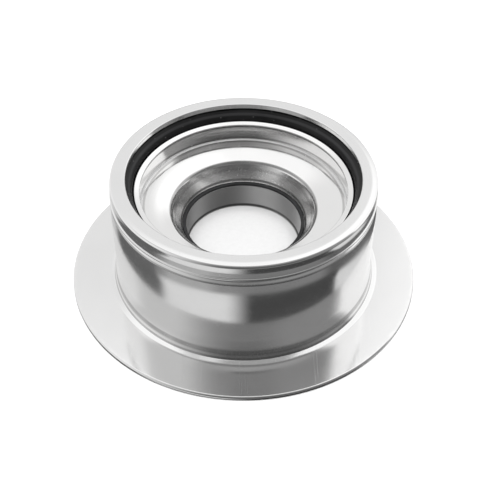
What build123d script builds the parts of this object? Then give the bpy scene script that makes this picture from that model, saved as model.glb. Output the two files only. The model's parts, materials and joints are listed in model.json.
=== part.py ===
"""Sink flange of a kitchen garbage disposal, with its stopper seated in it.

The flange stands on its wide disc, the way it lies on a bench: the face that the
sink bowl shows in use is at the bottom, and the end that goes into the disposal
points up. All sizes are in millimetres. The origin is the centre of the disc's
lower face, and +Z runs along the neck.
"""

from build123d import *
from math import radians, tan
import os

# ---- flange: one drawn sheet, disc and neck -------------------------------------
disc_r = 57.15            # the usual 4 1/2 inch sink flange
flange_height = 40.2      # lower face of the disc to the top of the end ring
flange_sheet = 1.4        # sheet thickness of disc and neck
neck_r = 42.2             # outside of the neck, through a 3 1/2 inch sink hole
disc_edge_round = 0.6     # rounding of the disc's upper edge
disc_edge_break = 0.3     # rounding of the disc's lower edge

flare_height = 6.1        # height above the disc over which the neck flares out
flare_reach = 0.55        # how far the flare stands out at its foot
foot_reach = 0.6          # from the flare's foot to the crease
foot_height = 2.2         # height of the flare's foot above the disc
crease_height = 0.35      # height of the crease above the disc
fillet_reach = 1.35       # from the crease out to the flat of the disc

taper_height = 4.4        # length of the neck's slight taper below the groove
taper_reach = 0.35        # how far that taper comes in

# ---- groove for the snap ring, and the end ring ---------------------------------
groove_width = 1.8
groove_depth = 1.3        # from the neck's outside in to the groove's floor
groove_flank = 0.6        # height of the groove's sloping lower flank
end_ring_height = 5.5
ledge_reach = 2.7         # how far the ledge stands in over the spigot's bore
ledge_thickness = 1.8
ring_fit = 0.03           # radial play of the end ring on the neck, filled by braze
wall_set_back = 0.45      # end ring's side wall, in from the neck's outside
wall_hollow = 0.15        # how far that side wall is hollowed at mid height
bead_set_back = 0.12      # bead's crest, in from the neck's outside
bead_width = 0.6
crown_width = 1.75        # outer part of the ring's top that slopes off
crown_drop = 0.25
ring_edge_round = 0.85

# ---- stopper --------------------------------------------------------------------
play = 0.3                # gap between pieces that move against each other
plate_sheet = 1.0
plate_gap = 1.2           # from the plate's edge to the inside of the neck
gasket_width = 5.05       # from the gasket's outside in to its seat on the clamp ring
dish_depth = 6.7          # from the lip's top down to the plate
lip_drop = 2.9            # the lip's top below the gasket's top
clamp_sheet = 0.9         # thickness of the clamp ring's wall
lip_thickness = 1.2
lip_reach = 1.65          # how far the lip stands out over the gasket
lip_overhang = 0.2        # how far the lip stands in over its own wall
lip_fall = 0.55           # how far the lip's top falls towards the dish
gasket_flat = 2.25        # width of the gasket's flat top under the ledge
gasket_slope = 2.5        # height of its sloping inner face
gasket_crown = 0.25       # how far that slope bulges

knob_r = 19.75            # outside of the knob's cup
cup_wall = 1.1
cup_rim_drop = 9.0        # the cup's rim below the plate's flat
cup_depth = 8.9           # inside of the cup, rim to floor
seal_thickness = 0.8
collar_fit = 0.05         # radial play of the cup in the plate's collar, filled by weld
collar_length = 6.9
shoulder_width = 3.35     # from the collar's mouth out to the shoulder's brow
brow_drop = 2.3           # the brow below the plate's flat
middle_drop = 0.75        # how far the outer, flatter half of the dish's floor falls

# ---- levels and radii that follow ------------------------------------------------
ring_bottom = flange_height - end_ring_height
groove_bottom = ring_bottom - groove_width
ledge_bottom = flange_height - ledge_thickness
spigot_r = neck_r - groove_depth
neck_bore_r = neck_r - flange_sheet
spigot_bore_r = spigot_r - flange_sheet
ledge_r = spigot_bore_r - ledge_reach

gasket_top = ledge_bottom - play
gasket_r = spigot_bore_r - play
dish_r = gasket_r - gasket_width - play - clamp_sheet
lip_top = gasket_top - lip_drop
lip_r = dish_r + lip_reach
plate_top = lip_top - dish_depth
plate_r = neck_bore_r - plate_gap
collar_r = knob_r + collar_fit
collar_top = plate_top - cup_rim_drop + seal_thickness
cup_rim = plate_top - cup_rim_drop


def eased(corners, closed):
    """Split (radius, height, rounding) corners, with no rounding too big for its sides."""
    points = [Vector(across, up) for across, up, _ in corners]
    inner = range(len(points)) if closed else range(1, len(points) - 1)
    roundings = []
    for index in inner:
        before = points[index] - points[index - 1]
        after = points[(index + 1) % len(points)] - points[index]
        half_turn = radians(before.get_angle(after)) / 2
        room = 0.48 * min(before.length, after.length) / tan(half_turn)
        roundings.append(min(corners[index][2], room))
    return points, roundings


def turned(corners):
    """Turn a closed section about the Z axis."""
    points, roundings = eased(corners, closed=True)
    with BuildPart() as piece:
        with BuildSketch(Plane.XZ):
            with BuildLine():
                FilletPolyline(*points, radius=roundings, close=True)
            make_face()
        revolve(axis=Axis.Z)
    return piece.part


def pressed(corners, sheet, edge_rounds):
    """Turn a sheet whose upper or outer skin follows the corners, outer edge first."""
    points, roundings = eased(corners, closed=False)
    with BuildPart() as piece:
        with BuildSketch(Plane.XZ) as section:
            with BuildLine():
                FilletPolyline(*points, radius=roundings)
                offset(amount=sheet, side=Side.LEFT)
            make_face()
            rim = section.vertices().group_by(Axis.X)[-1].sort_by(Axis.Y)
            fillet(rim[0], edge_rounds[0])
            rim = section.vertices().group_by(Axis.X)[-1].sort_by(Axis.Y)
            fillet(rim[-1], edge_rounds[1])
        revolve(axis=Axis.Z)
    return piece.part


def sink_flange():
    """Wide disc and neck, drawn from one sheet; the neck's end is necked down to a spigot."""
    disc_top = flange_sheet
    foot_r = neck_r + flare_reach
    crease_r = foot_r + foot_reach
    corners = [
        (disc_r, disc_top, 0),
        (crease_r + fillet_reach, disc_top, 1.5),
        (crease_r, disc_top + crease_height, 0),
        (foot_r, disc_top + foot_height, 3.0),
        (neck_r, disc_top + flare_height, 25.0),
        (neck_r, groove_bottom - taper_height, 60.0),
        (neck_r - taper_reach, groove_bottom - groove_flank / 3, 0.35),
        (spigot_r, groove_bottom + groove_flank, 0.5),
        (spigot_r, ledge_bottom, 0),
    ]
    return pressed(corners, flange_sheet, (disc_edge_break, disc_edge_round))


def neck_end_ring():
    """Thick ring brazed on the spigot: its ledge stops the stopper, its foot closes the groove."""
    wall_r = neck_r - wall_set_back
    bead_r = neck_r - bead_set_back
    bead_top = ring_bottom + bead_width
    middle = (bead_top + flange_height) / 2
    return turned([
        (spigot_r + ring_fit, ring_bottom, 0),
        (bead_r, ring_bottom, 0.25),
        (bead_r, bead_top, 0.25),
        (wall_r, bead_top + bead_width / 3, 0.2),
        (wall_r - wall_hollow, middle, 8.0),
        (wall_r, flange_height - crown_drop, ring_edge_round),
        (wall_r - crown_width, flange_height, 6.0),
        (ledge_r, flange_height, 0.35),
        (ledge_r, ledge_bottom, 0.35),
        (spigot_r + ring_fit, ledge_bottom, 0),
    ])


def stopper_gasket():
    """Black rubber ring round the stopper: it meets the ledge above and the plate below."""
    seat_r = gasket_r - gasket_width
    inner_r = lip_r + play
    flat_r = gasket_r - gasket_flat
    lip_bottom = lip_top - lip_thickness
    bulge_r = (flat_r + inner_r) / 2 - gasket_crown
    bulge_height = gasket_top - gasket_slope / 2 + gasket_crown
    return turned([
        (seat_r, plate_top + play, 0.3),
        (gasket_r, plate_top + play, 0.5),
        (gasket_r, gasket_top, 0.6),
        (flat_r, gasket_top, 3.0),
        (bulge_r, bulge_height, 5.0),
        (inner_r, gasket_top - gasket_slope, 1.5),
        (inner_r, lip_bottom - play, 0.15),
        (seat_r, lip_bottom - play, 0.3),
    ])


def gasket_ring():
    """Clamp ring: its wall is the dish's side, its sloping lip hooks over the gasket."""
    lip_bottom = lip_top - lip_thickness
    lip_inner_r = dish_r - lip_overhang
    return turned([
        (dish_r, plate_top, 0.25),
        (dish_r + clamp_sheet, plate_top, 0.1),
        (dish_r + clamp_sheet, lip_bottom, 0.1),
        (lip_r, lip_bottom, 0.35),
        (lip_r, lip_top, 0.35),
        (lip_inner_r, lip_top - lip_fall, 0.5),
        (lip_inner_r, lip_bottom + lip_thickness / 3, 0.15),
        (dish_r, lip_bottom, 0.3),
    ])


def stopper_plate():
    """Pressed plate: flat under the gasket, a shallow cone, then a shoulder into the collar."""
    brow_r = collar_r + shoulder_width
    middle_r = (dish_r + brow_r) / 2
    corners = [
        (plate_r, plate_top, 0),
        (dish_r, plate_top, 2.0),
        (middle_r, plate_top - middle_drop, 30.0),
        (brow_r, plate_top - brow_drop, 2.2),
        (collar_r, collar_top, 0.8),
        (collar_r, collar_top - collar_length, 0),
    ]
    return pressed(corners, plate_sheet, (plate_sheet / 4, plate_sheet / 4))


def knob_cup():
    """Closed cup pressed into the plate's collar; its bottom is the knob that a hand grips."""
    inner_r = knob_r - cup_wall
    floor_top = cup_rim - cup_depth
    return turned([
        (0, floor_top - cup_wall, 0),
        (knob_r, floor_top - cup_wall, 2.0),
        (knob_r, cup_rim, 0.2),
        (inner_r, cup_rim, 0.2),
        (inner_r, floor_top, 0.8),
        (0, floor_top, 0),
    ])


def knob_seal():
    """Thin black ring on the cup's rim, flush with the mouth of the collar."""
    seal_r = knob_r - cup_wall
    return turned([
        (seal_r, cup_rim, 0.15),
        (knob_r, cup_rim, 0.15),
        (knob_r, cup_rim + seal_thickness, 0.3),
        (seal_r, cup_rim + seal_thickness, 0.3),
    ])


pieces = {
    "sink_flange": sink_flange(),
    "neck_end_ring": neck_end_ring(),
    "stopper_gasket": stopper_gasket(),
    "gasket_ring": gasket_ring(),
    "stopper_plate": stopper_plate(),
    "knob_cup": knob_cup(),
    "knob_seal": knob_seal(),
}

os.makedirs("parts", exist_ok=True)
for name, piece in pieces.items():
    export_step(piece, f"parts/{name}.step")
    box = piece.bounding_box()
    print(f"{name}: {piece.volume:.0f} mm3, height {box.min.Z:.2f} to {box.max.Z:.2f}")
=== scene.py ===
# %% [markdown]
# # Looks for a disposal's sink flange and its stopper
#
# The object is a short stainless neck with a wide disc, a thick ring on the neck's end and
# a stopper seated in it. Its shape comes ready-made from CAD. Blender adds what CAD has not:
# polished steel, black rubber, a studio to be mirrored in them, and a camera.

# %% Load the frame
import bpy
import json
import numpy as np
from math import atan2, cos, degrees, hypot, radians, sin
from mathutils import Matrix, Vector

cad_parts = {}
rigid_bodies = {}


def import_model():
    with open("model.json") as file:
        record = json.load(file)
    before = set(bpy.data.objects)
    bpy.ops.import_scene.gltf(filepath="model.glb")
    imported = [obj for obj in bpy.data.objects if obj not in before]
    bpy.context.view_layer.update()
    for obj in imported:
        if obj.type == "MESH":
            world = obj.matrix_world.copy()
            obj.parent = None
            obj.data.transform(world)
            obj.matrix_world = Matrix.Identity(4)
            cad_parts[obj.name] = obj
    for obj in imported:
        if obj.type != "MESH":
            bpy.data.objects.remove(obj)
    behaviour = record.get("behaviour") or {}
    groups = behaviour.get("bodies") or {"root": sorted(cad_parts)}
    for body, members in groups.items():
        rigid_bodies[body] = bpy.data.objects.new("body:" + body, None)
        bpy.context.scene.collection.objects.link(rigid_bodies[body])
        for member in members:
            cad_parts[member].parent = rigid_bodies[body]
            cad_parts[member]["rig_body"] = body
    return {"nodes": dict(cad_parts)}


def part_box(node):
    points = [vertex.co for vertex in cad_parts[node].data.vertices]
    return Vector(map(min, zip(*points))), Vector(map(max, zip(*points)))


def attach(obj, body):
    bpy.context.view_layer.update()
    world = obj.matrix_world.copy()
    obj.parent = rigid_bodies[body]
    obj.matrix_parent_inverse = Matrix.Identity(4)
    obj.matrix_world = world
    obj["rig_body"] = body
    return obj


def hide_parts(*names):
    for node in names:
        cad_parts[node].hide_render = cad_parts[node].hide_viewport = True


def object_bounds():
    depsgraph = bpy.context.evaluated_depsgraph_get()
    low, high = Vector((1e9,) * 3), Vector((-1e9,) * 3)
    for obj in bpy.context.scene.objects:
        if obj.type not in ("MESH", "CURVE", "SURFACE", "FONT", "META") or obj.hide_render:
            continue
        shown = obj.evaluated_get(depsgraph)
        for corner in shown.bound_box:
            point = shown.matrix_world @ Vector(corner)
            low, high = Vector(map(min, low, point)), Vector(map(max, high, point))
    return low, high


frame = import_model()
nodes = frame["nodes"]
cad_low, cad_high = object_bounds()
print("CAD pieces:", sorted(nodes))
print("CAD box in mm:", [round(side * 1000, 2) for side in cad_high - cad_low])

# %% [markdown]
# The camera looks down on the flange from the front, a little more than forty degrees
# above the bench and about a third of a metre away. That is near enough for the disc to
# look wider in front than behind. The lens length and the distance belong together: a
# shorter lens from nearer by would frame the flange alike, but would swell its near side.

# %% Camera
MM = 0.001
MICRON = 0.000001
CAMERA_DISTANCE = 314.14 * MM
CAMERA_HEIGHT_ANGLE = 44.49
CAMERA_LIFT = 0.5 * MM
LOOK_DOWN = 43.012
LOOK_LEFT = 0.2923
LENS = 69.28
SENSOR = 36.0

lens_data = bpy.data.cameras.new("bench_camera")
lens_data.sensor_width = SENSOR
lens_data.lens = LENS
lens_data.clip_start = 10 * MM
camera = bpy.data.objects.new("bench_camera", lens_data)
bpy.context.collection.objects.link(camera)
rise = radians(CAMERA_HEIGHT_ANGLE)
camera.location = (0, -CAMERA_DISTANCE * cos(rise), CAMERA_DISTANCE * sin(rise) + CAMERA_LIFT)
camera.rotation_euler = (radians(90 - LOOK_DOWN), 0, radians(LOOK_LEFT))
bpy.context.scene.camera = camera
print("camera stands at", [round(v / MM, 1) for v in camera.location], "mm")

# %% [markdown]
# A material in Blender is a small network of nodes. These helpers add one node and wire
# it in the same line, so that the networks below read like recipes.

# %% Helpers for node networks
def node(tree, kind, wires=None, **settings):
    """Add a node, make its settings, and fill its sockets with values or wires."""
    made = tree.nodes.new(kind)
    for name, value in settings.items():
        setattr(made, name, value)
    for socket, value in (wires or {}).items():
        if isinstance(value, bpy.types.NodeSocket):
            tree.links.new(value, made.inputs[socket])
        else:
            made.inputs[socket].default_value = value
    return made


def calc(tree, operation, first, second=0.0):
    """One sum: MULTIPLY, ADD, MAXIMUM and so on."""
    return node(tree, "ShaderNodeMath", {0: first, 1: second}, operation=operation).outputs[0]


def ramp(tree, value, start, end, low=0.0, high=1.0):
    """Follow value from start to end with a soft S-curve, as low turns into high."""
    made = node(tree, "ShaderNodeMapRange", {
        "Value": value, "From Min": start, "From Max": end, "To Min": low, "To Max": high,
    }, interpolation_type="SMOOTHSTEP")
    return made.outputs["Result"]


def blend(tree, share, first, second):
    """Pass from the first number to the second as share goes from 0 to 1."""
    made = node(tree, "ShaderNodeMix", {0: share, 2: first, 3: second}, data_type="FLOAT")
    return made.outputs[0]


def tint(tree, share, first, second):
    """Pass from the first colour to the second as share goes from 0 to 1."""
    made = node(tree, "ShaderNodeMix", {0: share, 6: first, 7: second}, data_type="RGBA")
    return made.outputs[2]


def grey(level):
    """A neutral colour."""
    return (level, level, level, 1)


def noise(tree, place_on, scale, detail):
    """Soft noise between 0 and 1, scale times to the metre."""
    made = node(tree, "ShaderNodeTexNoise", {"Vector": place_on, "Scale": scale, "Detail": detail})
    return made.outputs["Fac"]


def new_group(name, inputs, outputs):
    """An empty node group with number sockets. inputs gives each socket's first value."""
    group = bpy.data.node_groups.new(name, "ShaderNodeTree")
    for socket, value in inputs.items():
        made = group.interface.new_socket(socket, in_out="INPUT", socket_type="NodeSocketFloat")
        made.default_value = value
    for socket in outputs:
        group.interface.new_socket(socket, in_out="OUTPUT", socket_type="NodeSocketFloat")
    entry = group.nodes.new("NodeGroupInput")
    leave = group.nodes.new("NodeGroupOutput")
    print("group", name, "gives", ", ".join(outputs))
    return group, entry, leave


def place(tree, group, **values):
    """Put a group into a network with its own values."""
    wires = {socket.replace("_", " "): value for socket, value in values.items()}
    return node(tree, "ShaderNodeGroup", wires, node_tree=group)


# %% [markdown]
# Every piece of this object was turned or pressed round one axis, so most effects depend on
# two numbers only: the distance from the axis and the height. These two helpers find them,
# and tell how far a point lies from a circle round the axis, which is what an edge is here.

# %% Helpers for turned pieces
def turning(tree):
    """A point on a turned piece: the point, its part across the axis, its radius, its height."""
    spot = node(tree, "ShaderNodeTexCoord").outputs["Object"]
    part = node(tree, "ShaderNodeSeparateXYZ", {0: spot})
    flat = node(tree, "ShaderNodeCombineXYZ", {0: part.outputs["X"], 1: part.outputs["Y"]})
    radius = node(tree, "ShaderNodeVectorMath", {0: flat.outputs[0]}, operation="LENGTH")
    return spot, flat.outputs[0], radius.outputs["Value"], part.outputs["Z"]


def from_circle(tree, radius, height, circle_radius, circle_height):
    """Distance of a point from a circle round the axis."""
    beside = calc(tree, "SUBTRACT", radius, circle_radius)
    above = calc(tree, "SUBTRACT", height, circle_height)
    gap = node(tree, "ShaderNodeCombineXYZ", {0: beside, 1: above}).outputs[0]
    return node(tree, "ShaderNodeVectorMath", {0: gap}, operation="LENGTH").outputs["Value"]


# %% [markdown]
# ## The studio
#
# Polished steel has hardly any colour of its own: what you see in it is the room. So the
# room is built first. It is a round white studio with a few grey and bright cards stood
# around the bench, drawn in the world's own node network. Each card has a left, a right,
# a lower and an upper edge, given in degrees round the horizon and above it.
# Straight in front of the flange is 0 degrees, its right side is 90.

# %% A card of the studio
CARD = {"Azimuth": 0.0, "Elevation": 0.0, "Left": 0.0, "Right": 0.0, "Bottom": 0.0,
        "Top": 0.0, "Left Blur": 5.0, "Right Blur": 5.0, "Height Blur": 5.0}
card_group, entry, leave = new_group("studio_card", CARD, ["Mask"])


def card_edge(value, edge, blur, rising):
    """1 on the card's side of one edge, 0 on the other, with a soft change between."""
    before = calc(card_group, "SUBTRACT", entry.outputs[edge], entry.outputs[blur])
    after = calc(card_group, "ADD", entry.outputs[edge], entry.outputs[blur])
    low, high = (0.0, 1.0) if rising else (1.0, 0.0)
    return ramp(card_group, entry.outputs[value], before, after, low, high)


across = calc(card_group, "MULTIPLY", card_edge("Azimuth", "Left", "Left Blur", True),
              card_edge("Azimuth", "Right", "Right Blur", False))
upward = calc(card_group, "MULTIPLY", card_edge("Elevation", "Bottom", "Height Blur", True),
              card_edge("Elevation", "Top", "Height Blur", False))
card_group.links.new(calc(card_group, "MULTIPLY", across, upward), leave.inputs["Mask"])

# %% [markdown]
# The cards are hung one over the other, so a later card covers an earlier one. The list
# says where each hangs, how soft its left, right and level edges are, and how bright it is.
# The wide grey wall in front darkens the neck, and the white wall behind lights the disc.
# Two dark screens stand low behind the flange, so that its back looks like steel as well.
# Only mirror-like reflections see the cards. The camera itself and matt surfaces see an
# even white, which keeps the floor plain.

# %% Hang the cards
WALL_LIGHT = 0.86
PLAIN_WHITE = 1.05
ROUND = (-400, 400)
BELOW = -200
CARDS = [
    ("ceiling", (*ROUND, 50, 200), (5, 5, 6), 1.08),
    ("back window", (137, 166, 32, 70), (6, 6, 6), 1.22),
    ("back screen", (156, 176, -20, 12), (6, 3, 6), 0.42),
    ("back curtain", (-178, -158, -24, 12), (3, 6, 6), 0.36),
    ("right window", (90, 150, -20, 70), (2.5, 15, 10), 1.12),
    ("left grey wall", (-108, 0, 35, 76), (10, 5, 5), 0.68),
    ("window frame", (60, 97, 30, 76), (5, 3, 5), 0.47),
    ("front wall", (-43, 89.5, 30, 84), (25, 2, 12), 0.28),
    ("front wall top", (-50, 82, 57, 88), (20, 8, 6), 0.40),
    ("lamp bracket", (-12, 32, 53.9, 58), (8, 14, 0.8), 0.15),
    ("camera", (-14, 25, 34, 49.8), (14, 18, 1.5), 0.19),
    ("left lamp", (-150, -42, -28, 35), (10, 35, 4), 0.92),
    ("camera stand", (-42, 90, -28, 35), (35, 3, 4), 0.11),
    ("right curtain", (58, 90, -28, 35), (28, 3, 4), 0.32),
    ("bench", (*ROUND, BELOW, -27), (5, 5, 5), 0.6),
    ("bench front edge", (-78, 100, BELOW, -26), (6, 10, 4), 0.23),
    ("bench right edge", (72, 168, BELOW, -24), (8, 8, 3), 0.12),
    ("bench left edge", (-66, -24, BELOW, -26), (5, 8, 4), 0.38),
    ("left shade", (-135, -76, BELOW, -33), (8, 4, 3), 0.13),
    ("right shade", (-30, 86, BELOW, -39.5), (5, 3, 1.5), 0.06),
    ("left sheet", (-74, -4, BELOW, -39.5), (5, 13, 1.5), 0.75),
    ("right sheet", (88, 135, BELOW, -41), (2, 10, 2), 0.74),
]

world = bpy.data.worlds.new("round_studio")
world.use_nodes = True
bpy.context.scene.world = world
room = world.node_tree
room.nodes.clear()
direction = node(room, "ShaderNodeTexCoord").outputs["Generated"]
aim = node(room, "ShaderNodeSeparateXYZ", {0: direction})
toward_front = calc(room, "MULTIPLY", aim.outputs["Y"], -1.0)
azimuth = calc(room, "MULTIPLY", calc(room, "ARCTAN2", aim.outputs["X"], toward_front), degrees(1))
elevation = calc(room, "MULTIPLY", calc(room, "ARCSINE", aim.outputs["Z"]), degrees(1))

level = WALL_LIGHT
for name, (left, right, bottom, top), (left_blur, right_blur, height_blur), light in CARDS:
    card = place(room, card_group, Azimuth=azimuth, Elevation=elevation, Left=left, Right=right,
                 Bottom=bottom, Top=top, Left_Blur=left_blur, Right_Blur=right_blur,
                 Height_Blur=height_blur)
    card.label = name
    level = blend(room, card.outputs["Mask"], level, light)

path = node(room, "ShaderNodeLightPath")
plain = calc(room, "MAXIMUM", path.outputs["Is Camera Ray"], path.outputs["Is Diffuse Ray"])
shown = blend(room, plain, level, PLAIN_WHITE)
backdrop = node(room, "ShaderNodeBackground", {"Color": grey(1.0), "Strength": shown})
node(room, "ShaderNodeOutputWorld", {"Surface": backdrop.outputs[0]})
print("studio cards:", len(CARDS))

# %% [markdown]
# A big soft lamp hangs above, for the floor and for the matt part of the rubber. It is
# kept out of mirror reflections, because a lamp mirrored in a ring is a hard white arc.

# %% Lamp and floor
LAMP_SIZE = 1.2
LAMP_HEIGHT = 1.4
LAMP_WATTS = 14.0
lamp_data = bpy.data.lights.new("overhead_lamp", "AREA")
lamp_data.size = LAMP_SIZE
lamp_data.energy = LAMP_WATTS
lamp = bpy.data.objects.new("overhead_lamp", lamp_data)
bpy.context.collection.objects.link(lamp)
lamp.location = (0, 0, LAMP_HEIGHT)
lamp.visible_glossy = False

FLOOR_HALF = 4.0
FLOOR_GAP = 0.05 * MM
floor_mesh = bpy.data.meshes.new("bench_top")
floor_mesh.from_pydata([(-FLOOR_HALF, -FLOOR_HALF, 0), (FLOOR_HALF, -FLOOR_HALF, 0),
                        (FLOOR_HALF, FLOOR_HALF, 0), (-FLOOR_HALF, FLOOR_HALF, 0)],
                       [], [(0, 1, 2, 3)])
floor = bpy.data.objects.new("bench_top", floor_mesh)
bpy.context.collection.objects.link(floor)
floor.location.z = cad_low.z - FLOOR_GAP
floor.visible_glossy = False
print("floor lies", round(FLOOR_GAP / MM, 2), "mm under the disc")

# %% [markdown]
# The floor is a sheet of white lacquered board. It gets a breath of unevenness, so that it
# isn't a dead flat colour in the views from the side.

# %% Floor finish
board = bpy.data.materials.new("white_board")
board.use_nodes = True
tree = board.node_tree
grain = node(tree, "ShaderNodeTexNoise", {"Scale": 6.0, "Detail": 4.0})
face = tree.nodes["Principled BSDF"]
tree.links.new(tint(tree, grain.outputs["Fac"], grey(0.93), grey(0.96)), face.inputs["Base Color"])
face.inputs["Roughness"].default_value = 0.6
floor_mesh.materials.append(board)
print("floor finished in", board.name)

# %% [markdown]
# ## Shared effects
#
# Four effects come back in several finishes, so each is a node group, built once.
#
# The first is the trace of the polishing wheel. The pieces are polished while they turn, so
# the fine lines run round the axis. The group feeds a noise texture with the distance from
# the axis and the height, both much magnified, and with the direction hardly magnified at
# all: the noise then changes quickly across the lines and slowly along them.

# %% Group: lines of the polishing wheel
LINES = {"Lines per Metre": 2500.0, "Line Length": 2.0}
BROAD_SHARE = 0.12
wheel_group, entry, leave = new_group("wheel_lines", LINES, ["Fine", "Broad"])
tree = wheel_group
spot, flat, radius, height = turning(tree)
heading = node(tree, "ShaderNodeVectorMath", {0: flat}, operation="NORMALIZE").outputs[0]
turn = node(tree, "ShaderNodeSeparateXYZ", {0: heading})
for name, share in (("Fine", 1.0), ("Broad", BROAD_SHARE)):
    pitch = calc(tree, "MULTIPLY", entry.outputs["Lines per Metre"], share)
    where = node(tree, "ShaderNodeCombineXYZ", {
        0: calc(tree, "MULTIPLY", radius, pitch),
        1: calc(tree, "MULTIPLY", height, pitch),
        2: calc(tree, "MULTIPLY", turn.outputs["X"], entry.outputs["Line Length"]),
    }).outputs[0]
    around = calc(tree, "MULTIPLY", turn.outputs["Y"], entry.outputs["Line Length"])
    lines = node(tree, "ShaderNodeTexNoise", {"Vector": where, "W": around, "Scale": 1.0,
                                              "Detail": 2.0}, noise_dimensions="4D")
    tree.links.new(lines.outputs["Fac"], leave.inputs[name])

# %% [markdown]
# The second effect is handling: soft clouds where a hand or a cloth has dulled the polish,
# and short thin scratches. A scratch is noise stretched about sixty times in one direction
# and cut off near its peaks. Two directions are enough to look like chance.

# %% Group: handling marks
HANDLING = {"Cloud Size": 0.02, "Scratches per Metre": 1800.0, "Rarity": 0.66}
STRETCH = 60.0
SCRATCH_EDGE = 0.08
TILTS = ((0.3, 0.2, 0.9), (1.1, 0.5, 2.3))
handling_group, entry, leave = new_group("handling_marks", HANDLING, ["Clouds", "Scratches"])
tree = handling_group
spot = node(tree, "ShaderNodeTexCoord").outputs["Object"]
cloud_scale = calc(tree, "DIVIDE", 1.0, entry.outputs["Cloud Size"])
clouds = noise(tree, spot, cloud_scale, 3.0)
tree.links.new(ramp(tree, clouds, 0.35, 0.7), leave.inputs["Clouds"])
cuts = []
for tilt in TILTS:
    turned = node(tree, "ShaderNodeMapping", {"Vector": spot, "Rotation": tilt,
                                              "Scale": (1.0, 1.0 / STRETCH, 1.0)})
    streaks = noise(tree, turned.outputs[0], entry.outputs["Scratches per Metre"], 1.0)
    deep = calc(tree, "ADD", entry.outputs["Rarity"], SCRATCH_EDGE)
    cuts.append(ramp(tree, streaks, entry.outputs["Rarity"], deep))
tree.links.new(calc(tree, "MAXIMUM", *cuts), leave.inputs["Scratches"])

# %% [markdown]
# The third effect is wear on a round edge: the rim of the disc and of the end ring are
# knocked on the bench and rubbed bright. The edge is a circle, so the group needs only its
# radius and its height, and fades away from it over a given width. A patchy noise leaves
# gaps in it, as a real rim is never rubbed evenly all the way round.

# %% Group: worn round edge
WEAR = {"Edge Radius": 0.05, "Edge Height": 0.0, "Width": 0.001}
wear_group, entry, leave = new_group("edge_wear", WEAR, ["Worn"])
tree = wear_group
spot, _, radius, height = turning(tree)
gap = from_circle(tree, radius, height, entry.outputs["Edge Radius"], entry.outputs["Edge Height"])
near = ramp(tree, gap, 0.0, entry.outputs["Width"], 1.0, 0.0)
patchy = ramp(tree, noise(tree, spot, 900.0, 3.0), 0.4, 0.62)
tree.links.new(calc(tree, "MULTIPLY", near, patchy), leave.inputs["Worn"])

# %% [markdown]
# Thin circles of painted light, built as one group: dark lines of painted shade where a crease,
# joint, bend or cut face would show shade or a dark reflection, and light lines of painted
# highlight or sheen. A sheared cut face is also really dull. The group is the same idea as
# the worn edge, with a firmer line and less chance in it.

# %% Group: painted light line
SEAM = {"Seam Radius": 0.05, "Seam Height": 0.0, "Width": 0.0005}
FIRM_SHARE = 0.35
seam_group, entry, leave = new_group("painted_light_line", SEAM, ["Dirt"])
tree = seam_group
spot, _, radius, height = turning(tree)
gap = from_circle(tree, radius, height, entry.outputs["Seam Radius"], entry.outputs["Seam Height"])
firm = calc(tree, "MULTIPLY", entry.outputs["Width"], FIRM_SHARE)
line = ramp(tree, gap, firm, entry.outputs["Width"], 1.0, 0.0)
uneven = ramp(tree, noise(tree, spot, 120.0, 2.0), 0.2, 0.6, 0.7, 1.0)
tree.links.new(calc(tree, "MULTIPLY", line, uneven), leave.inputs["Dirt"])

# %% [markdown]
# ## Polished stainless steel
#
# The metal is one recipe with different amounts. Metallic is fully on, so the base colour
# is the share of light that the mirror gives back. Roughness blurs the mirror: the wheel
# lines make it rise and fall by a little, clouds dull it, and worn edges clear it. The
# heights of lines and scratches go through a Bump node, which tilts the mirror slightly.
# One piece also has a painted highlight, a thin circle in its crease: there the metal share
# falls to nothing, and a light grey line scatters light like paint.

# %% Steel recipe
CLOUD_DULL = 0.035
STREAK_DULL = 0.10
SCRATCH_DULL = 0.10
SEAM_DULL = 0.15
WORN_CLEAR = 0.015
DIM_SHARE = 0.955
SCRATCH_DEPTH = 0.8
WORN_COLOUR = (0.90, 0.90, 0.895, 1)
# Painted shade: the dark grey laid into the steel's colour in thin circles along creases, joints and
# bends.
PAINTED_SHADE_COLOUR = (0.12, 0.12, 0.118, 1)
# Painted highlight: a light grey, non-metal colour for the bright line in the dish's crease.
PAINTED_HIGHLIGHT_COLOUR = grey(0.6)


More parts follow.
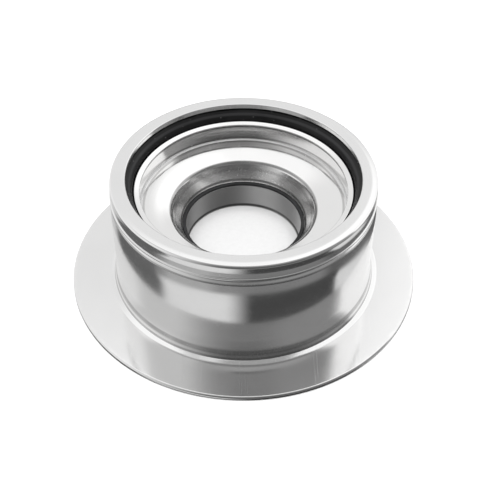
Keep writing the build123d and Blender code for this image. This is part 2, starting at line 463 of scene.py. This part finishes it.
def steel(name, shine, warmth, roughness, line_depth, lines_per_metre, wear_at, shade_lines=(),
          brushed_inside=None, painted_highlight_line=None):
    """Polished steel. wear_at is its most handled edge; lines of painted shade are given as (radius,
    height, width, dark).
    """
    made = bpy.data.materials.new(name)
    made.use_nodes = True
    tree = made.node_tree
    face = tree.nodes["Principled BSDF"]
    face.inputs["Metallic"].default_value = 1.0
    wheel = place(tree, wheel_group, Lines_per_Metre=lines_per_metre)
    marks = place(tree, handling_group)
    wear = place(tree, wear_group, Edge_Radius=wear_at[0], Edge_Height=wear_at[1])
    clouds, scratches = marks.outputs["Clouds"], marks.outputs["Scratches"]
    broad, worn = wheel.outputs["Broad"], wear.outputs["Worn"]

    streak = calc(tree, "MULTIPLY", calc(tree, "SUBTRACT", broad, 0.5), STREAK_DULL)
    rough = calc(tree, "ADD", calc(tree, "MULTIPLY", clouds, CLOUD_DULL), streak)
    rough = calc(tree, "ADD", rough, roughness)
    rough = calc(tree, "ADD", rough, calc(tree, "MULTIPLY", scratches, SCRATCH_DULL))
    rough = calc(tree, "SUBTRACT", rough, calc(tree, "MULTIPLY", worn, WORN_CLEAR))

    clean = (shine * (1 + warmth), shine, shine * (1 - warmth), 1)
    dim = tuple(DIM_SHARE * part for part in clean[:3]) + (1,)
    colour = tint(tree, calc(tree, "MULTIPLY", broad, clouds), clean, dim)
    colour = tint(tree, worn, colour, WORN_COLOUR)
    # Painted shade: each line darkens the colour where shade or a dark reflection falls; the added
    # roughness is a real dulling.
    for radius, height, width, dark in shade_lines:
        seam = place(tree, seam_group, Seam_Radius=radius, Seam_Height=height, Width=width)
        share = calc(tree, "MULTIPLY", seam.outputs["Dirt"], dark)
        colour = tint(tree, share, colour, PAINTED_SHADE_COLOUR)
        rough = calc(tree, "ADD", rough, calc(tree, "MULTIPLY", share, SEAM_DULL))
    if brushed_inside:
        outer, inner, extra = brushed_inside
        _, _, radius, _ = turning(tree)
        rough = calc(tree, "ADD", rough, ramp(tree, radius, outer, inner, 0.0, extra))
    # Painted highlight: a light grey non-metal circle in the crease, which shows as a bright line.
    if painted_highlight_line:
        radius, height, width = painted_highlight_line
        line = place(tree, seam_group, Seam_Radius=radius, Seam_Height=height, Width=width)
        colour = tint(tree, line.outputs["Dirt"], colour, PAINTED_HIGHLIGHT_COLOUR)
        tree.links.new(blend(tree, line.outputs["Dirt"], 1.0, 0.0), face.inputs["Metallic"])

    relief = calc(tree, "SUBTRACT", wheel.outputs["Fine"],
                  calc(tree, "MULTIPLY", scratches, SCRATCH_DEPTH))
    bump = node(tree, "ShaderNodeBump", {"Strength": 1.0, "Distance": line_depth,
                                         "Height": relief})
    tree.links.new(colour, face.inputs["Base Color"])
    tree.links.new(rough, face.inputs["Roughness"])
    tree.links.new(bump.outputs[0], face.inputs["Normal"])
    print("steel", name, "roughness about", roughness)
    return made


# %% [markdown]
# The rubber is black nitrile, moulded in a matt tool. It is nearly black under a faint grey
# bloom that comes and goes, its gloss is weak and wide, and a fine pebble breaks it up.
# A few dust specks stick to it, as they do on any gasket that has lain on a bench. A lighter
# circle is painted round each piece as a sheen, where a highlight falls on its rounded top.

# %% Rubber recipe
BLOOM = 2.1
DUST_PER_METRE = 420.0
DUST_SHARE = 0.25
DUST_COLOUR = grey(0.3)
# Painted highlight: the lighter grey of the sheen circle on the rubber.
PAINTED_SHEEN_COLOUR = (0.024, 0.024, 0.025, 1)
BLOOM_DULL = 0.12
RUBBER_GLOSS = 0.27
PEBBLE_DEPTH = 0.02 * MM


def rubber(name, darkness, roughness, pebble_size, painted_sheen_line):
    """Moulded black rubber with bloom, pebble and dust. The last argument is a painted sheen circle,
    as (radius, height, width).
    """
    made = bpy.data.materials.new(name)
    made.use_nodes = True
    tree = made.node_tree
    clouds = place(tree, handling_group, Cloud_Size=0.008).outputs["Clouds"]
    spot = node(tree, "ShaderNodeTexCoord").outputs["Object"]
    pebble = noise(tree, spot, 1 / pebble_size, 2.0)
    dust = node(tree, "ShaderNodeTexVoronoi", {"Vector": spot, "Scale": DUST_PER_METRE})
    speck = ramp(tree, dust.outputs["Distance"], 0.06, 0.10, DUST_SHARE, 0.0)

    black = (darkness, darkness, darkness * 1.04, 1)
    bloom = (darkness * BLOOM, darkness * BLOOM, darkness * 2.2, 1)
    colour = tint(tree, speck, tint(tree, clouds, black, bloom), DUST_COLOUR)
    # Painted highlight: a lighter circle laid into the colour as a sheen on the rounded top.
    radius, height, width = painted_sheen_line
    painted_sheen = place(tree, seam_group, Seam_Radius=radius, Seam_Height=height, Width=width)
    colour = tint(tree, painted_sheen.outputs["Dirt"], colour, PAINTED_SHEEN_COLOUR)
    rough = ramp(tree, clouds, 0.0, 1.0, roughness, roughness + BLOOM_DULL)
    bump = node(tree, "ShaderNodeBump", {"Strength": 0.6, "Distance": PEBBLE_DEPTH,
                                         "Height": pebble})
    face = tree.nodes["Principled BSDF"]
    face.inputs["Specular IOR Level"].default_value = RUBBER_GLOSS
    tree.links.new(colour, face.inputs["Base Color"])
    tree.links.new(rough, face.inputs["Roughness"])
    tree.links.new(bump.outputs[0], face.inputs["Normal"])
    print("rubber", name, "roughness about", roughness)
    return made


# %% [markdown]
# ## Turning the pieces again
#
# The CAD meshes are turned in about ninety flat steps. On matt plastic nobody would see
# them, but a mirror shows each step as a dash of light along a bright edge. So every piece
# is turned again in finer steps. Its section is not redrawn: it is read from the CAD mesh,
# in the half plane through the axis that holds most of the mesh's edges. That gives the
# radius, the height and the exact direction in which the surface faces. The fine piece
# therefore has the CAD's size to the last digit, and it stands for the CAD node.
#
# Only the knob's cup has a section with loose ends. They are its closed floor, above and
# below, and are carried on level to the axis.

# %% Read a section
SAME = 7


def section_of(name):
    """Pieces of a turned part's section: two (radius, height) ends, each with its normal."""
    mesh = nodes[name].data
    angle_of, point_of = {}, {}
    for vertex in mesh.vertices:
        x, y, z = vertex.co
        angle_of[vertex.index] = round(degrees(atan2(y, x)), 2) % 360
        point_of[vertex.index] = (round(hypot(x, y), SAME), round(z, SAME))
    on_plane = {}
    for edge in mesh.edges:
        first, second = edge.vertices
        if angle_of[first] == angle_of[second] and point_of[first] != point_of[second]:
            pair = frozenset((point_of[first], point_of[second]))
            on_plane.setdefault(angle_of[first], {}).setdefault(pair, (first, second))
    cut = max(sorted(on_plane), key=lambda angle: len(on_plane[angle]))
    out_x, out_y = cos(radians(cut)), sin(radians(cut))
    facing = {}
    for corner, normal in zip(mesh.loops, mesh.corner_normals):
        if angle_of[corner.vertex_index] == cut:
            x, y, z = normal.vector
            facing.setdefault(corner.vertex_index, (x * out_x + y * out_y, z))
    parts, count = [], {}
    for first, second in on_plane[cut].values():
        parts.append({point_of[first]: facing[first], point_of[second]: facing[second]})
        for point in parts[-1]:
            count[point] = count.get(point, 0) + 1
    loose = sorted((p for p, times in count.items() if times == 1), key=lambda p: p[1])
    for point, up in zip(loose, (-1.0, 1.0)):
        parts.append({point: (0.0, up), (0.0, point[1]): (0.0, up)})
    print(name, "cut at", cut, "degrees:", len(parts), "edges,", len(loose), "ends on the axis")
    return parts


# %% [markdown]
# Each edge of the section, swept round the axis, gives one band of four-sided faces. Where
# an end lies on the axis the faces have three corners. The corner normals are written into
# the mesh as they were read, so the bands shade as the smooth CAD surface would.

# %% Turn it
STEPS = 256
SLOTS = {
    "sink_flange": "flange_steel", "neck_end_ring": "ring_steel",
    "stopper_gasket": "gasket_rubber", "gasket_ring": "clamp_steel",
    "stopper_plate": "dish_steel", "knob_cup": "knob_steel", "knob_seal": "seal_rubber",
}


def turned_again(name):
    """A finer copy of a turned CAD node, riding on the node's own body."""
    angles = np.linspace(0, radians(360), STEPS, endpoint=False)
    round_x, round_y = np.cos(angles), np.sin(angles)
    rings, vertices, faces, normals = {}, [], [], []

    def ring(point):
        """The number of a ring's first vertex. A ring on the axis is a single vertex."""
        if point not in rings:
            rings[point] = len(vertices)
            if point[0] == 0.0:
                vertices.append((0.0, 0.0, point[1]))
            else:
                vertices.extend(zip(point[0] * round_x, point[0] * round_y, [point[1]] * STEPS))
        return rings[point]

    for ends in section_of(name):
        (start, start_faces), (end, end_faces) = ends.items()
        # A band whose front would face into the metal is walked from its other end.
        if (start[1] - end[1]) * start_faces[0] + (end[0] - start[0]) * start_faces[1] < 0:
            start, end, start_faces, end_faces = end, start, end_faces, start_faces
        first, second = ring(start), ring(end)
        for step in range(STEPS):
            after = (step + 1) % STEPS
            corners = [(first, start, start_faces, step), (second, end, end_faces, step)]
            if end[0] > 0:
                corners.append((second, end, end_faces, after))
            if start[0] > 0:
                corners.append((first, start, start_faces, after))
            faces.append([base + at if point[0] > 0 else base for base, point, _, at in corners])
            normals += [(out * round_x[at], out * round_y[at], up)
                        for _, _, (out, up), at in corners]

    mesh = bpy.data.meshes.new(name + "_turned")
    mesh.from_pydata(vertices, [], faces)
    mesh.shade_smooth()
    mesh.normals_split_custom_set(normals)
    piece = bpy.data.objects.new(name + "_turned", mesh)
    bpy.context.collection.objects.link(piece)
    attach(piece, nodes[name]["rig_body"])
    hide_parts(name)
    print(name, "turned again:", len(rings), "rings of", STEPS)
    return piece


pieces = {name: turned_again(name) for name in sorted(SLOTS)}

# %% [markdown]
# ## Finishes of the seven pieces
#
# Each piece gets its own amounts. The radii and heights of the edges are read from the CAD
# boxes where a box shows them. The others are the part's own driving sizes, named here.

# %% Where the edges are
def outer_edge(name):
    """Radius and top height of a turned piece, from its box."""
    _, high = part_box(name)
    return high.x, high.z


SHEET = 1.4 * MM
CUP_WALL = 1.1 * MM
NECK_RADIUS = 42.2 * MM
GASKET_INSIDE = 34.9 * MM
DISH_RADIUS = 32.95 * MM
BROW_RADIUS = 23.25 * MM
SHOULDER_RADIUS = 21.9 * MM
COLLAR_RADIUS = 20.2 * MM

disc_edge, _ = outer_edge("sink_flange")
_, gasket_top = outer_edge("stopper_gasket")
ring_low, ring_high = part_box("neck_end_ring")
plate_top, lip_top = (corner.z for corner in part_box("gasket_ring"))
cup_low, cup_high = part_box("knob_cup")

disc_rim = (disc_edge - 0.8 * MM, SHEET)
# Most circles below carry lines of painted shade on the steel.
cut_face = (disc_edge, 0.2 * SHEET)
foot_flare = (NECK_RADIUS + 0.45 * MM, SHEET + 2.9 * MM)
foot_crease = (NECK_RADIUS + 1.0 * MM, SHEET + 0.8 * MM)
groove_edge = (NECK_RADIUS - 0.4 * MM, SHEET + 31.4 * MM)
ring_foot = (ring_high.x, ring_low.z)
lip_root = (DISH_RADIUS - 0.1 * MM, lip_top - 1.1 * MM)
wall_foot = (DISH_RADIUS, plate_top + 0.9 * MM)
dish_crease = (DISH_RADIUS - 0.2 * MM, plate_top)
dish_start = (DISH_RADIUS - 1.1 * MM, plate_top)
brow = (BROW_RADIUS, plate_top - 2.3 * MM)
shoulder = (SHOULDER_RADIUS, plate_top - 4.3 * MM)
collar_bend = (COLLAR_RADIUS, plate_top - 7.5 * MM)
cup_corner = (cup_high.x - CUP_WALL, cup_low.z + CUP_WALL + 0.5 * MM)
# These two circles carry painted sheen lines on the rubber.
gasket_painted_sheen = (GASKET_INSIDE + 0.9 * MM, gasket_top - 1.1 * MM)
seal_painted_sheen = (cup_high.x, cup_high.z + 0.8 * MM)
print("disc rim at", round(disc_edge / MM, 2), "mm, lip top at", round(lip_top / MM, 2), "mm")

# %% [markdown]
# The flange is drawn from sheet, and its disc is cut out with a press, so the cut face is
# dull. Dark lines of painted shade lie on that cut face, round the neck's foot, at the
# groove's edge, at the end ring's foot, at the clamp ring's lip root and wall foot, round the
# dish's brow, shoulder, start and collar bend, and in the cup's inner corner. The end ring is
# turned and has the coarsest lines. The clamp ring and the dish are the brightest, because
# they are what one sees in the sink. The knob's cup is deep, and the wheel barely brushed its
# wall; its steel is also painted darker than the rest, as shade for the deep well.

# %% Give each piece its finish
finishes = {
    "sink_flange": steel(
        "drawn_flange_steel", shine=0.87, warmth=0.002, roughness=0.11,
        line_depth=0.6 * MICRON, lines_per_metre=2600, wear_at=disc_rim,
        shade_lines=[(*cut_face, 0.45 * MM, 0.9), (*foot_flare, 1.3 * MM, 0.5),
               (*foot_crease, 0.55 * MM, 0.45), (*groove_edge, 0.45 * MM, 0.6)]),
    "neck_end_ring": steel(
        "turned_ring_steel", shine=0.87, warmth=0.002, roughness=0.12,
        line_depth=0.9 * MICRON, lines_per_metre=3600, wear_at=outer_edge("neck_end_ring"),
        shade_lines=[(*ring_foot, 0.5 * MM, 0.55)]),
    "gasket_ring": steel(
        "clamp_ring_steel", shine=0.90, warmth=0.004, roughness=0.09,
        line_depth=0.5 * MICRON, lines_per_metre=3000, wear_at=outer_edge("gasket_ring"),
        shade_lines=[(*lip_root, 0.6 * MM, 0.9), (*wall_foot, 0.6 * MM, 0.4)]),
    "stopper_plate": steel(
        "pressed_dish_steel", shine=0.89, warmth=0.004, roughness=0.10,
        line_depth=0.6 * MICRON, lines_per_metre=2400, wear_at=outer_edge("stopper_plate"),
        shade_lines=[(*brow, 0.75 * MM, 0.65), (*shoulder, 0.7 * MM, 0.25),
               (*dish_start, 0.6 * MM, 0.4), (*collar_bend, 0.6 * MM, 0.8)],
        brushed_inside=(24.5 * MM, 21 * MM, 0.08), painted_highlight_line=(*dish_crease, 0.45 * MM)),
    # Painted shade: the cup's steel is darker than the other pieces', standing in for the shade of
    # the deep well.
    "knob_cup": steel(
        "knob_cup_steel", shine=0.60, warmth=0.002, roughness=0.44,
        line_depth=0.6 * MICRON, lines_per_metre=2800, wear_at=outer_edge("knob_cup"),
        shade_lines=[(*cup_corner, 0.8 * MM, 0.9)]),
    "stopper_gasket": rubber("gasket_rubber", darkness=0.004, roughness=0.36,
                             pebble_size=0.25 * MM, painted_sheen_line=(*gasket_painted_sheen, 0.7 * MM)),
    "knob_seal": rubber("seal_rubber", darkness=0.012, roughness=0.45,
                        pebble_size=0.25 * MM, painted_sheen_line=(*seal_painted_sheen, 0.3 * MM)),
}
for name, finish in finishes.items():
    pieces[name].data.materials.append(finish)
    print(name, "is finished in", finish.name)

# %% [markdown]
# The polishing wheel can't reach down into the knob's cup, so its floor keeps the satin
# face of the press. A satin face scatters light like chalk and looks almost white. The
# floor is picked out by its height and radius, and a mask turns metal into satin there.
# The cup is left out of mirror reflections: its wall would otherwise mirror the floor in
# front of it, and the well would lose its dark sides.

# %% Satin floor in the cup
SATIN_ROUGHNESS = 0.55
tree = finishes["knob_cup"].node_tree
spot, _, radius, height = turning(tree)
floor_level = cup_low.z + CUP_WALL
inner_radius = cup_high.x - CUP_WALL
above = ramp(tree, height, floor_level - 0.3 * MM, floor_level - 0.2 * MM)
under = ramp(tree, height, floor_level + 0.1 * MM, floor_level + 0.5 * MM, 1.0, 0.0)
inside = ramp(tree, radius, inner_radius - 0.6 * MM, inner_radius - 0.1 * MM, 1.0, 0.0)
satin = calc(tree, "MULTIPLY", calc(tree, "MULTIPLY", above, under), inside)
mottled = tint(tree, noise(tree, spot, 900.0, 4.0), grey(0.70), grey(0.77))
face = tree.nodes["Principled BSDF"]
polished_colour = face.inputs["Base Color"].links[0].from_socket
polished_rough = face.inputs["Roughness"].links[0].from_socket
tree.links.new(tint(tree, satin, polished_colour, mottled), face.inputs["Base Color"])
tree.links.new(blend(tree, satin, polished_rough, SATIN_ROUGHNESS), face.inputs["Roughness"])
tree.links.new(blend(tree, satin, 1.0, 0.0), face.inputs["Metallic"])
pieces["knob_cup"].visible_glossy = False
print("satin floor out to", round(inner_radius / MM, 2), "mm")

# %% [markdown]
# The Standard view shows light as it is. Blender's default view would turn the white
# studio grey and flatten the contrast that makes steel look like steel.

# %% View
bpy.context.scene.view_settings.view_transform = "Standard"
